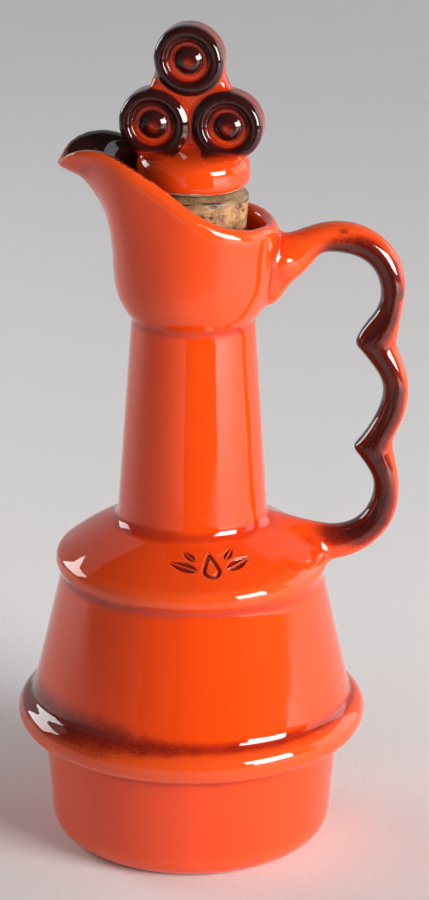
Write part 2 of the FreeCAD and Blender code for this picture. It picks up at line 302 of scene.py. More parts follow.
@dataclass(frozen=True)
class Paper:
    """Plain matt studio paper, with painted shade that greys it towards the back and leaves it pale towards
    the front.
    """

    name: str = "studio_paper"
    # near and far: painted shade, pale paper at the front greying towards the back
    near: Colour = (0.84, 0.81, 0.80)
    far: Colour = (0.53, 0.525, 0.545)
    fleck: Colour = (0.3, 0.29, 0.29)
    # glow and the lifts: a painted glow, stronger towards the back, seen only by the camera and in
    # reflections
    glow: Colour = (1.0, 0.985, 0.98)
    lift_near: float = 0.02
    lift_behind: float = 0.15
    lift_far: float = 0.16

    def material(self) -> bpy.types.Material:
        """Make the paper, with its painted shade towards the back and a painted glow that lifts it a little
        for the camera and for reflections alone.

        Returns:
            The paper.
        """
        board = Board(self.name)
        apart = board.node("ShaderNodeSeparateXYZ", None, {0: board.place()}, "Y")
        share = (apart + (board.noise(0.8, 1.0) - 0.5) * 0.1).between(0.0, 1.5)
        fibre = board.noise(0.0016, 3.0, 0.7)
        # Painted shade: the colour greys from the front towards the back.
        colour = board.blend(share, self.near, self.far)
        colour = board.blend((fibre - 0.5).between(0.0, 0.4) * 0.06, colour, self.fleck)
        # Painted glow, only for camera and reflection rays, growing towards the back.
        seen = board.node("ShaderNodeLightPath", None, None, "Is Camera Ray")
        for way in ("Is Glossy Ray", "Is Transmission Ray"):
            seen = seen.most(board.node("ShaderNodeLightPath", None, None, way))
        behind = apart.between(-0.02, 0.16)
        lift = seen * (self.lift_near + behind * self.lift_behind + share * self.lift_far)
        glow = board.blend(lift, (0.0, 0.0, 0.0), self.glow)
        normal = board.bump(fibre, 0.0001)
        return board.finish(
            Base_Color=colour, Roughness=0.9, Normal=normal, Emission_Color=glow, Emission_Strength=1.0
        )


@dataclass(frozen=True)
class Felt:
    """Black felt."""

    name: str = "black_felt"
    valley: Colour = (0.008, 0.008, 0.008)
    nap: Colour = (0.014, 0.014, 0.014)

    def material(self) -> bpy.types.Material:
        """Make the felt, with a paler nap.

        Returns:
            The felt.
        """
        board = Board(self.name)
        colour = board.blend(board.noise(0.003, 2.0), self.valley, self.nap)
        return board.finish(Base_Color=colour, Roughness=1.0)


class Grid:
    """A mesh held as arrays, for smoothing, measuring and painting numbers on it."""

    def __init__(self, mesh: bpy.types.Mesh) -> None:
        """Read the vertices and edges of a mesh.

        Args:
            mesh: The mesh.
        """
        self.mesh = mesh
        count = len(mesh.vertices)
        self.points = np.empty(count * 3)
        mesh.vertices.foreach_get("co", self.points)
        self.points = self.points.reshape(-1, 3)
        pairs = np.empty(len(mesh.edges) * 2, np.int64)
        mesh.edges.foreach_get("vertices", pairs)
        self.first, self.second = pairs.reshape(-1, 2).T
        self.valence = np.maximum(np.bincount(pairs, minlength=count), 1)

    def mean(self, values: Array) -> Array:
        """Return the mean of each vertex's neighbours.

        Args:
            values: One row or number a vertex.

        Returns:
            The means, in the same shape.
        """
        columns = values.reshape(len(values), -1)
        total = np.empty_like(columns)
        for index in range(columns.shape[1]):
            column = columns[:, index]
            total[:, index] = np.bincount(self.first, column[self.second], len(column))
            total[:, index] += np.bincount(self.second, column[self.first], len(column))
        return (total / self.valence[:, None]).reshape(values.shape)

    def relax(self, rounds: int, share: Array | float = 1.0) -> None:
        """Smooth the shape.

        Args:
            rounds: How many times each vertex moves half way to its neighbours' mean.
            share: How much of each move is made, by vertex.
        """
        weight = np.broadcast_to(np.asarray(share, float), (len(self.points),))[:, None]
        for _ in range(rounds):
            self.points += (self.mean(self.points) - self.points) * 0.5 * weight

    def normals(self) -> Array:
        """Return the outward direction at each vertex.

        Returns:
            One row a vertex.
        """
        self.write()
        found = np.empty(self.points.size, np.float32)
        self.mesh.vertex_normals.foreach_get("vector", found)
        return found.reshape(-1, 3).astype(float)

    def hollowness(self, rounds: int) -> Array:
        """Return how far the surface bends: above 0 in folds and below 0 on edges.

        Args:
            rounds: How widely it is smoothed.

        Returns:
            Mean offset of the neighbours along the normal, in metres.
        """
        bend = ((self.mean(self.points) - self.points) * self.normals()).sum(1)
        for _ in range(rounds):
            bend += (self.mean(bend) - bend) * 0.5
        return bend

    def paint(self, layer: Layer, values: Array) -> None:
        """Keep a number at each vertex, clamped to 0 and 1."""
        kept = self.mesh.attributes.new(layer.value, "FLOAT", "POINT")
        kept.data.foreach_set("value", np.clip(values, 0, 1).astype(np.float32))

    def write(self) -> None:
        """Put the points back into the mesh."""
        self.mesh.vertices.foreach_set("co", self.points.ravel())
        self.mesh.update()


def step(values: Array, low: float, high: float) -> Array:
    """Return a smooth step from 0 at low to 1 at high."""
    share = np.clip((values - low) / (high - low), 0, 1)
    return share * share * (3 - 2 * share)


def arc(middle: Pair, radii: Pair, start: float, end: float, count: int) -> list[Pair]:
    """Return count points on an arc round middle, between two angles in radians."""
    turns = np.linspace(start, end, count)
    return [(middle[0] + radii[0] * math.cos(a), middle[1] + radii[1] * math.sin(a)) for a in turns]


def placed(name: str, data: bpy.types.ID) -> bpy.types.Object:
    """Return a new object with the data, linked to the scene."""
    made = bpy.data.objects.new(name, data)
    bpy.context.scene.collection.objects.link(made)
    return made


def mesh_of(shell: Shell, name: str) -> bpy.types.Mesh:
    """Turn a shell into a mesh, and free the shell.

    Args:
        shell: The shell.
        name: Name of the mesh.

    Returns:
        The new mesh.
    """
    mesh = bpy.data.meshes.new(name)
    shell.to_mesh(mesh)
    shell.free()
    return mesh


def turned(profile: Outline, steps: int = 96) -> Shell:
    """Turn an outline of (radius, height) in millimetres once round the Z axis.

    Args:
        profile: Outline from the axis at the bottom to the axis at the top.
        steps: Faces round the axis.

    Returns:
        The closed shell, in metres.
    """
    shell = bmesh.new()
    line = [shell.verts.new((r * MM, 0.0, z * MM)) for r, z in profile]
    edges = [shell.edges.new(pair) for pair in zip(line, line[1:])]
    bmesh.ops.spin(shell, geom=line + edges, axis=(0, 0, 1), cent=(0, 0, 0), angle=math.tau, steps=steps)
    bmesh.ops.remove_doubles(shell, verts=shell.verts, dist=1e-7)
    bmesh.ops.recalc_face_normals(shell, faces=shell.faces)
    return shell


def pebble(middle: Sequence[float], sizes: Sequence[float], tilt: float = 0.0) -> Shell:
    """Make an egg-shaped shell.

    Args:
        middle: Its middle in millimetres.
        sizes: Half its length along each axis in millimetres.
        tilt: Turn about the Y axis in degrees.

    Returns:
        The closed shell, in metres.
    """
    shell = bmesh.new()
    bmesh.ops.create_uvsphere(shell, u_segments=32, v_segments=20, radius=1.0)
    shape = Matrix.Rotation(math.radians(tilt), 4, "Y") @ Matrix.Diagonal((*sizes, 1.0))
    shell.transform(Matrix.Scale(MM, 4) @ Matrix.Translation(middle) @ shape)
    return shell


def node_shell(node: str) -> Shell:
    """Return a solid of the frame as one welded shell.

    Args:
        node: Name of its node.

    Returns:
        The closed shell, in metres.
    """
    shell = bmesh.new()
    shell.from_mesh(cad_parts[node].data)
    bmesh.ops.remove_doubles(shell, verts=shell.verts, dist=1e-6)
    return shell


def skin(shells: Sequence[Shell], name: str, voxel: float) -> bpy.types.Object:
    """Make one even, closed mesh over shells that overlap.

    Args:
        shells: The closed shells, which are freed.
        name: Name of the new piece.
        voxel: Width of its faces in metres.

    Returns:
        The new object, linked to the scene.
    """
    whole = bmesh.new()
    for shell in shells:
        part = mesh_of(shell, "shell")
        whole.from_mesh(part)
        bpy.data.meshes.remove(part)
    raw = mesh_of(whole, "shells")
    made = placed(name, raw)
    remesh = made.modifiers.new("skin", "REMESH")
    remesh.mode = "VOXEL"
    remesh.voxel_size = voxel
    remesh.adaptivity = 0.0
    graph = bpy.context.evaluated_depsgraph_get()
    even = bpy.data.meshes.new_from_object(made.evaluated_get(graph))
    made.modifiers.clear()
    made.data = even
    even.name = name
    bpy.data.meshes.remove(raw)
    even.shade_smooth()
    return made


def offset_from(path: Outline, points: Array) -> Array:
    """Return how far each point is from a line of straight runs.

    Args:
        path: Corners of the line in millimetres.
        points: Places in metres.

    Returns:
        The shortest offset from the line to each point, in millimetres.
    """
    corners = np.array(path, float)
    places = points / MM
    best = np.full_like(places, 1e6)
    for start, end in zip(corners, corners[1:]):
        along = end - start
        share = np.clip((places - start) @ along / (along @ along), 0, 1)
        offset = places - start - share[:, None] * along
        nearer = (offset**2).sum(1) < (best**2).sum(1)
        best[nearer] = offset[nearer]
    return best


@dataclass(frozen=True)
class HandleSpray:
    """Brown spray on the finger side and the front of the handle. Sizes are in millimetres."""

    middle: Outline = (
        (21, 0, 148), (24.4, 0, 150.2), (32.9, 0, 152.9), (41, 0, 151.1), (45.7, 0, 146.7), (47.6, 0, 140.3),
        (46.6, 0, 133.6), (43.6, 0, 126.6), (47.5, 0, 120.5), (48.9, 0, 115.1), (47.7, 0, 108.5),
        (43.6, 0, 100.4), (46.3, 0, 95), (47.2, 0, 89.3), (45.2, 0, 82.2), (40.6, 0, 77.7), (34.5, 0, 75.8),
        (28, 0, 76),
    )
    finger_side: float = 0.75
    front: float = 0.62
    gap_middle: Pair = (32.0, 113.0)
    straight: float = 25.0
    upper_bare: Pair = (25.0, 42.0)
    lower_bare: Pair = (27.0, 46.0)
    bareness: float = 0.95
    within: Pair = (5.5, 7.5)
    begins: Pair = (24.0, 33.0)
    fade: Pair = (-0.50, 0.66)
    film: Pair = (-1.0, -0.3)
    film_strength: float = 0.12
    strength: float = 0.86

    def on(self, points: Array) -> Array:
        """Return the spray on the handle.

        Args:
            points: Places in metres.

        Returns:
            A number from 0 to 1 at each place.
        """
        offset = offset_from(self.middle, points)
        away = np.linalg.norm(offset, axis=1)
        side = offset / np.maximum(away, 1e-6)[:, None]
        x, _, z = points.T / MM
        rise = z - self.gap_middle[1]
        at_end = np.abs(rise) > self.straight
        inward = np.stack([self.gap_middle[0] - x, np.zeros_like(x), np.where(at_end, -rise, 0.0)], 1)
        inward /= np.linalg.norm(inward, axis=1)[:, None]
        facing = (side * inward).sum(1) * self.finger_side - side[:, 1] * self.front
        bare = np.where(rise > 0, 1 - step(x, *self.upper_bare), 1 - step(x, *self.lower_bare))
        facing -= np.where(at_end, bare * self.bareness, 0)
        soft = np.maximum(step(facing, *self.fade), self.film_strength * step(facing, *self.film))
        return soft * self.strength * (1 - step(away, *self.within)) * step(x, *self.begins)


@dataclass(frozen=True)
class RingSpray:
    """Brown spray in a groove round the body, in millimetres. Pairs go from the handle to the spout."""

    radius: float
    height: float
    above: Pair
    below: Pair
    strength: Pair
    turn: float = 12.0

    def on(self, points: Array) -> Array:
        """Return the spray in the groove and beside it.

        Args:
            points: Places in metres.

        Returns:
            A number from 0 to 1 at each place.
        """
        x, y, z = points.T / MM
        spoutward = step(-np.cos(np.arctan2(y, x) - math.radians(self.turn)), 0.05, 0.95)
        above, below, strength = (
            low + (high - low) * spoutward for low, high in (self.above, self.below, self.strength)
        )
        rise = z - self.height
        away = np.hypot(np.hypot(x, y) - self.radius, rise)
        return strength * (1 - step(away / np.where(rise > 0, above, below), 0.1, 1.0))


@dataclass(frozen=True)
class Sprig:
    """A plain drop between two pairs of leaves, pressed into the shoulder. Sizes are in millimetres."""

    turn: float = -80.0
    radius: float = 25.6
    height: float = 78.6
    slope: float = 31.0
    depth: float = 0.55
    spray: float = 0.62
    leaf: float = 7.4
    leaves: Outline = ((3.4, -1.6, 24, 1.0), (3.6, 1.2, 58, 0.62))
    drop_radius: float = 2.3
    drop_middle: float = -1.6
    drop_taper: float = 5.6
    drop_tip: float = 4.2
    drop_line: float = 0.45
    half_width: float = 12.5
    half_height: float = 7.0
    neck: float = 17.8
    fold: float = 73.0

    def local(self, points: Array) -> tuple[Array, Array]:
        """Lay the shoulder flat round the sprig.

        Args:
            points: Places in metres.

        Returns:
            Places along the rim and up the shoulder from the sprig's middle, in millimetres.
        """
        turn = math.radians(self.turn)
        slope = math.radians(self.slope)
        places = points / MM
        along = places @ np.array([-math.sin(turn), math.cos(turn), 0.0])
        inward = self.radius - places @ np.array([math.cos(turn), math.sin(turn), 0.0])
        rise = inward * math.cos(slope) + (places[:, 2] - self.height) * math.sin(slope)
        rise += along**2 / (2 * self.radius) * -math.cos(slope) * 0.9
        return along, rise

    def near(self, points: Array) -> Array:
        """Find the places on the shoulder by the sprig.

        Args:
            points: Places in metres.

        Returns:
            1 there and 0 elsewhere.
        """
        along, rise = self.local(points)
        x, y, z = points.T / MM
        front = (np.abs(z - self.height) < self.half_height) & (y < 0) & (np.hypot(x, y) > self.neck)
        patch = (np.abs(along) < self.half_width) & (np.abs(rise) < self.half_height)
        return (front & patch).astype(float)

    def mark(self, points: Array) -> Array:
        """Return how deep the sprig is pressed.

        Args:
            points: Places in metres.

        Returns:
            A number from 0 to 1 at each place.
        """
        along, rise = self.local(points)
        pressed = 1 - step(np.abs(self._drop(along, rise) + self.drop_line), 0.28, 0.62)
        for side in (-1, 1):
            for across, up, tilt, size in self.leaves:
                leaf = self._leaf(along * side - across, rise - up, math.radians(tilt), self.leaf * size)
                pressed = np.maximum(pressed, leaf)
        return pressed * self.near(points)

    def _drop(self, across: Array, rise: Array) -> Array:
        """Return the distance to the outline of a drop, below 0 inside it.

        Args:
            across: Places across the drop.
            rise: Places up the drop.

        Returns:
            The distance at each place.
        """
        up = rise - self.drop_middle
        width = self.drop_radius * (1 - np.clip(up / self.drop_taper, 0, 1)) ** 0.8
        round_end = np.hypot(across, up) - self.drop_radius
        return np.where(up > 0, np.maximum(np.abs(across) - width, rise - self.drop_tip), round_end)

    @staticmethod
    def _leaf(across: Array, rise: Array, tilt: float, length: float) -> Array:
        """Return a leaf that is pressed in on both sides of its vein.

        Args:
            across: Places across from its foot.
            rise: Places up from its foot.
            tilt: Turn from the level in radians.
            length: Length of the leaf.

        Returns:
            A number from 0 to 1 at each place.
        """
        along = across * math.cos(tilt) + rise * math.sin(tilt)
        side = -across * math.sin(tilt) + rise * math.cos(tilt)
        width = length * 0.21 * np.sin(math.pi * np.clip(along / length, 0, 1) ** 0.8)
        inside = 1 - step(np.abs(side) - width, -0.25, 0.15)
        vein = step(np.abs(side), 0.08, 0.30)
        return inside * vein * (along > 0) * (along < length)


@dataclass
class Vessel:
    """The glazed body in one piece: foot, belly, shoulder, neck, spouted head and handle.

    Sizes are in millimetres, the voxel's apart.
    """

    voxel: float = 0.7 * MM
    glaze: Glaze = field(default_factory=Glaze)
    handle_spray: HandleSpray = field(default_factory=HandleSpray)
    sprig: Sprig = field(default_factory=Sprig)
    rings: tuple[RingSpray, ...] = (
        RingSpray(39.6, 36.9, (3.4, 9.5), (2.4, 7.5), (0.38, 0.60)),
        RingSpray(31.6, 69.6, (1.6, 2.4), (1.4, 3.0), (0.12, 0.34)),
    )
    smudges: tuple[tuple[Outline, Pair, float], ...] = (
        (((20.5, -4, 150), (21.5, -5, 143)), (0.5, 3.4), 0.26),
        (((35, -3.2, 155), (36, -3.2, 155)), (0.3, 1.2), 0.45),
    )
    spout_heights: Pair = (160.0, 167.0)
    spout_back: Pair = (-13.0, -3.0)
    root_clay: tuple[tuple[Place, Place, float], ...] = (
        ((20.8, 0, 147.0), (3.4, 6.4, 5.0), 20),
        ((19.7, 0, 141.5), (2.5, 5.8, 6.0), 12),
        ((22.6, 0, 146.6), (4.6, 5.2, 4.8), -35),
        ((25.4, 0, 149.0), (4.4, 4.4, 4.2), 60),
        ((20.3, 0, 142.0), (2.8, 4.4, 5.6), 18),
        ((22.8, 0, 79.4), (5.6, 7.0, 2.7), 28),
        ((28.8, 0, 75.8), (5.2, 5.0, 3.2), 20),
    )
    roots: Outline = ((21, 143, 7, 15), (25, 78, 6, 14))
    head_wall: Pair = (16.6, 17.6)
    cavity_mouth: Pair = (9.6, 125.0)
    cavity: tuple[Pair, ...] = (
        (9.7, 118.0), (12.4, 96.0), (14.7, 80.4), (22.0, 75.0), (27.6, 70.5), (35.3, 36.9), (32.9, 32.6),
        (30.4, 9.5), (25.7, 5.0), (12.0, 5.0),
    )
    cavity_skin: float = 1.3
    # fold_bend: how sharp a fold must be to take the full deep colour, thick glaze with painted crease shade
    fold_bend: float = 0.016
    foot_ring: Pair = (22.0, 23.0)

    def build(self) -> bpy.types.Object:
        """Shape the vessel, press the sprig into it and dress it.

        Returns:
            The dressed vessel.
        """
        flares = [pebble(*clay) for clay in self.root_clay]
        piece = skin([node_shell("cruet_body"), *flares], "vessel", self.voxel)
        grid = Grid(piece.data)
        grid.relax(6)
        grid.relax(30, self.root_share(grid.points))
        grid.write()
        self.open_cavity(piece.data)
        self.refine(piece.data)
        grid = Grid(piece.data)
        mark = self.sprig.mark(grid.points)
        grid.points -= grid.normals() * (mark * self.sprig.depth * MM)[:, None]
        sprayed = self.spray(grid.points, grid.normals())
        bend = grid.hollowness(6) / (self.fold_bend * MM)
        grid.write()
        grid.paint(Layer.SPRAY, np.maximum(sprayed, mark * self.sprig.spray))
        # Folds: thick glaze and painted crease shade; convex edges: thin glaze.
        grid.paint(Layer.POOL_AND_SHADE, bend)
        grid.paint(Layer.EDGE, -bend)
        grid.paint(Layer.BARE, self.bare_foot(grid.points))
        piece.data.materials.append(self.glaze.material())
        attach(piece, "cruet")
        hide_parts("cruet_body")
        return piece

    def root_share(self, points: Array) -> Array:
        """Find where the handle's roots flow into head and shoulder.

        Args:
            points: Places in metres.

        Returns:
            A number from 0 to 1 at each place.
        """
        x, y, z = points.T / MM
        near = [1 - step(np.hypot(x - root[0], z - root[1]), *root[2:]) for root in self.roots]
        return np.maximum.reduce(near) * step(np.hypot(x, y), *self.head_wall)

    def open_cavity(self, mesh: bpy.types.Mesh) -> None:
        """Swap the fine skin of the hidden cavity for a few wide rings.

        Args:
            mesh: The vessel's mesh.
        """
        work = bmesh.new()
        work.from_mesh(mesh)
        last_height = self.cavity[-1][1]
        wall = [(r, 0.0, z) for r, z in (self.cavity_mouth, *self.cavity, (0.0, last_height))]
        centres = np.array([face.calc_center_median() for face in work.faces])
        flat = np.stack([np.hypot(centres[:, 0], centres[:, 1]), np.zeros(len(centres)), centres[:, 2]], 1)
        away = np.linalg.norm(offset_from(wall, flat), axis=1)
        hidden = (away < self.cavity_skin) & (centres[:, 2] < self.cavity_mouth[1] * MM)
        work.faces.ensure_lookup_table()
        bmesh.ops.delete(work, geom=[work.faces[i] for i in np.flatnonzero(hidden)], context="FACES")
        loop = [edge for edge in work.edges if edge.is_boundary]
        for radius, height in self.cavity:
            made = bmesh.ops.extrude_edge_only(work, edges=loop)["geom"]
            loop = [item for item in made if isinstance(item, bmesh.types.BMEdge)]
            for vert in (item for item in made if isinstance(item, bmesh.types.BMVert)):
                turn = math.atan2(vert.co.y, vert.co.x)
                vert.co = Vector((radius * math.cos(turn), radius * math.sin(turn), height)) * MM
        bmesh.ops.contextual_create(work, geom=loop)
        bmesh.ops.recalc_face_normals(work, faces=work.faces)
        work.to_mesh(mesh)
        work.free()
        mesh.shade_smooth()

    def refine(self, mesh: bpy.types.Mesh) -> None:
        """Split the faces under the sprig, so that it is cut in crisply.

        Args:
            mesh: The vessel's mesh.
        """
        work = bmesh.new()
        work.from_mesh(mesh)
        work.edges.ensure_lookup_table()
        middles = np.array([(edge.verts[0].co + edge.verts[1].co) / 2 for edge in work.edges])
        chosen = np.flatnonzero(self.sprig.near(middles) * (middles[:, 2] > self.sprig.fold * MM))
        edges = [work.edges[i] for i in chosen]
        bmesh.ops.subdivide_edges(work, edges=edges, cuts=3, use_grid_fill=True)
        work.to_mesh(mesh)
        work.free()
        mesh.shade_smooth()

    def spray(self, points: Array, normals: Array) -> Array:
        """Return all the brown spray on the vessel.

        Args:
            points: Places in metres.
            normals: Outward directions there.

        Returns:
            A number from 0 to 1 at each place.
        """
        total = self.handle_spray.on(points)
        for ring in self.rings:
            total = np.maximum(total, ring.on(points))
        for line, fade, strength in self.smudges:
            away = np.linalg.norm(offset_from(line, points), axis=1)
            total = np.maximum(total, (1 - step(away, *fade)) * strength)
        x, y, z = points.T / MM
        inward = np.stack([2 - x, -y, np.full_like(x, 9.0)], 1)
        inward /= np.linalg.norm(inward, axis=1)[:, None]
        within = step((normals * inward).sum(1) + step(y, -2, 4) * 0.35, -0.05, 0.45)
        return np.maximum(total, within * step(z, *self.spout_heights) * (1 - step(x, *self.spout_back)))

    def bare_foot(self, points: Array) -> Array:
        """Return where the foot ring is wiped clean of glaze, 0 to 1."""
        x, y, z = points.T / MM
        return (1 - step(z, 0.15, 0.45)) * step(np.hypot(x, y), *self.foot_ring)


@dataclass
class Knob:
    """The glazed knob with its three ringed lobes. Sizes are in millimetres, the voxel's apart."""

    voxel: float = 0.32 * MM
    glaze: Glaze = field(default_factory=lambda: Glaze(name="knob_glaze"))
    turn: float = -8.0
    lean: float = 1.9
    foot_height: float = 165.1
    lobes: tuple[Pair, ...] = ((-8.8, 15.2), (8.8, 15.2), (0.0, 30.7))
    dome: float = 3.5
    ring: float = 4.4
    moat: float = 5.2
    lobe: float = 8.35
    lobe_inside: tuple[Pair, ...] = (
        (0.0, 4.30), (1.1, 4.18), (2.2, 3.74), (3.0, 3.10), (3.35, 2.62), (3.75, 2.95), (4.15, 3.12),
        (4.5, 2.95), (4.8, 2.60), (5.1, 2.75), (5.5, 3.45),
    )
    crown: tuple[Pair, ...] = ((7.0, 9.2), (0, 9.8))
    peg: tuple[Pair, ...] = ((0, -13.9), (4.2, -13.9), (4.8, -13.3), (4.8, 2.0), (0, 2.0))
    web_fillet: float = 7.9
    web_foot: float = 6.5
    web_lump: Place = (1.5, 3.2, 1.5)
    web_spray: float = 0.32
    valley_spray: float = 0.5
    foot_spray: float = 0.12
    # Centre and strength of a darker patch on the top left of the foot, under the left lobe.
    dark_patch: Place = (-8.0, -7.0, 6.5)
    dark_patch_strength: float = 0.42
    # How sharp a fold must be to take the full deep colour: thick glaze with painted crease shade.
    pool_and_shade_bend: float = 0.010
    edge_bend: float = 0.02

    def lobe_profile(self) -> list[Pair]:
        """Return the lobe's outline as (radius, depth), from the back's middle to the front's."""
        half = [*self.lobe_inside, *arc((6.6, 2.55), (1.78, 1.85), 2.2, -0.35, 9)]
        return [(r, -d) for r, d in half] + [(r, d) for r, d in reversed(half)]

    def web_places(self) -> list[Pair]:
        """Return places that fill the web between the lobes, inside its hollow outline.

        Returns:
            Places 1 mm apart, as (across, rise above the foot).
        """
        left, right, top = (np.array(lobe) for lobe in self.lobes)
        hollows = []
        for start, end in ((left, top), (top, right)):
            half = np.linalg.norm(end - start) / 2
            out = np.array([start[1] - end[1], end[0] - start[0]]) / (2 * half)
            reach = math.sqrt((self.lobe + self.web_fillet) ** 2 - half**2)
            hollows.append((start + end) / 2 + out * reach)
        places = []
        for rise in np.arange(self.web_foot, top[1], 1.0):
            if rise < left[1]:
                half_width = 12.0 - (rise - self.web_foot) * 0.3
            else:
                half_width = 10.5 - (rise - left[1]) * 0.2
            for across in np.arange(-12.0, 12.1, 1.0):
                place = np.array([across, rise])
                lobe_gap = min(np.linalg.norm(place - lobe) for lobe in (left, right, top))
                clear = min(np.linalg.norm(place - hollow) for hollow in hollows) - self.web_fillet
                if 7.6 < lobe_gap < 12.0 and clear > self.web_lump[0] and abs(across) < half_width:
                    places.append((float(across), float(rise)))
        return places

    def shells(self) -> list[Shell]:
        """Make the knob's foot, lobes, webs and peg.

        Returns:
            Shells that overlap, in metres.
        """
        bowl = arc((11.0, 2.6), (2.4, 2.4), -QUARTER, 0, 6)
        shoulder = arc((10.4, 5.4), (3.0, 3.0), 0, QUARTER - 0.2, 6)
        made = [turned([(0, 0.2), *bowl, *shoulder, *self.crown])]
        for across, rise in self.lobes:
            lobe = turned(self.lobe_profile(), 72)
            upright = Matrix.Rotation(QUARTER, 4, "X")
            lobe.transform(Matrix.Translation(Vector((across, 0, rise)) * MM) @ upright)
            made.append(lobe)
        made += [pebble((across, 0, rise), self.web_lump) for across, rise in self.web_places()]
        lean = Matrix.Identity(4)
        lean[0][2] = -math.tan(math.radians(self.lean))
        turn = Matrix.Rotation(math.radians(self.turn), 4, "Z")
        seat = Matrix.Translation((0, 0, self.foot_height * MM)) @ turn
        for shell in made:
            shell.transform(seat @ lean)
        peg = turned(self.peg)
        peg.transform(seat)
        return [*made, peg]

    def build(self) -> bpy.types.Object:
        """Shape the knob and dress it.

        Returns:
            The dressed knob.
        """
        piece = skin(self.shells(), "knob", self.voxel)
        grid = Grid(piece.data)
        grid.relax(3)
        grid.relax(40, self.web_share(grid.points))
        bend = grid.hollowness(4)
        grid.write()
        grid.paint(Layer.SPRAY, self.spray(grid.points))
        # Folds: thick glaze and painted crease shade.
        grid.paint(Layer.POOL_AND_SHADE, bend / (self.pool_and_shade_bend * MM))
        grid.paint(Layer.EDGE, -bend / (self.edge_bend * MM))
        grid.paint(Layer.BARE, self.bare_foot(grid.points))
        piece.data.materials.append(self.glaze.material())
        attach(piece, "stopper")
        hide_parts("stopper_knob")
        return piece

    def local(self, points: Array) -> tuple[Array, Array, Array]:
        """Turn places into the knob's own upright frame.

        Args:
            points: Places in metres.

        Returns:
            Places across, in depth and in rise above the foot, in millimetres.
        """
        x, y, z = points.T / MM
        turn = math.radians(self.turn)
        rise = z - self.foot_height
        across = x * math.cos(turn) + y * math.sin(turn) + rise * math.tan(math.radians(self.lean))
        return across, y * math.cos(turn) - x * math.sin(turn), rise

    def web_share(self, points: Array) -> Array:
        """Find where the web flows into the lobes and the foot.

        Args:
            points: Places in metres.

        Returns:
            A number from 0 to 1 at each place.
        """
        across, _, rise = self.local(points)
        gaps = [np.hypot(across - middle, rise - height) for middle, height in self.lobes]
        return step(np.minimum.reduce(gaps), 7.2, 8.8) * step(rise, 6.6, 8.2)

    def spray(self, points: Array) -> Array:
        """Return the spray layer: dark domes and bulges, lobes and moats darker on their upper halves than
        below, red rings and a bright web.

        Args:
            points: Places in metres.

        Returns:
            A number from 0 to 1 at each place.
        """
        across, depth, rise = self.local(points)
        total = np.full(len(points), self.web_spray)
        for middle, height in self.lobes:
            total = np.maximum(total, self._lobe_spray(across - middle, rise - height, np.abs(depth)))
        valley = 1 - step(np.hypot(across, (rise - 13.0) * 0.7), 0.8, 4.2)
        total = np.maximum(total, valley * self.valley_spray)
        # A darker patch on the top left of the foot, under the left lobe.
        offset = np.stack([across, depth, rise], 1) - self.dark_patch
        dark_patch = 1 - step(np.linalg.norm(offset, axis=1), 1.5, 5.5)
        foot = 1 - step(rise, 8.0, 9.6)
        return np.maximum(total * (1 - foot), foot * np.maximum(self.foot_spray, dark_patch * self.dark_patch_strength))

    def _lobe_spray(self, side: Array, up: Array, depth: Array) -> Array:
        """Return the spray layer on one lobe, darker on the upper half of the lobe and of its moat than
        below.

        Args:
            side: Places across from its middle.
            up: Places up from its middle.
            depth: Depth from its middle plane.

        Returns:
            A number from 0 to 1 at each place.
        """
        away = np.hypot(side, up)
        # The upper halves of the lobe and of its moat are darker than the lower halves.
        above = step(up / np.maximum(away, 1e-6), -0.55, 0.25)
        centre = 0.55 + 0.45 * step(np.hypot(side, up + 0.5), 0.3, 2.0)
        dome = centre * (1 - step(away, self.dome - 0.3, self.dome + 0.3))
        moat = step(away, self.ring - 0.6, self.ring) * (1 - step(away, self.moat, self.moat + 0.6))
        bulge = step(away, self.moat - 0.5, self.moat + 0.3)
        bulge *= 1 - step(away, self.lobe - 0.2, self.lobe + 0.9)
        right = step(side / self.lobe, -0.3, 0.8)
        face = step(depth, 0.4 + 1.4 * right, 2.0 + 1.3 * right)
        rim = 0.62 - 0.48 * right
        bulge *= rim + (0.95 - rim) * face
        total = np.maximum.reduce([dome * 0.92, moat * above * 0.85, bulge, 0.32 + 0.2 * above])
        return total * (1 - step(away, self.lobe, self.lobe + 0.6))

    def bare_foot(self, points: Array) -> Array:
        """Find where the underside of the foot shows bare clay and glue.

        Args:
            points: Places in metres.

        Returns:
            A number from 0 to 1 at each place.
        """
        across, depth, rise = self.local(points)
        turn = np.arctan2(depth, across)
        edge = 1.05 + 0.3 * np.sin(turn * 3 + 1.0) + 0.18 * np.sin(turn * 8)
        return 1 - step(rise - edge, -0.15, 0.15)


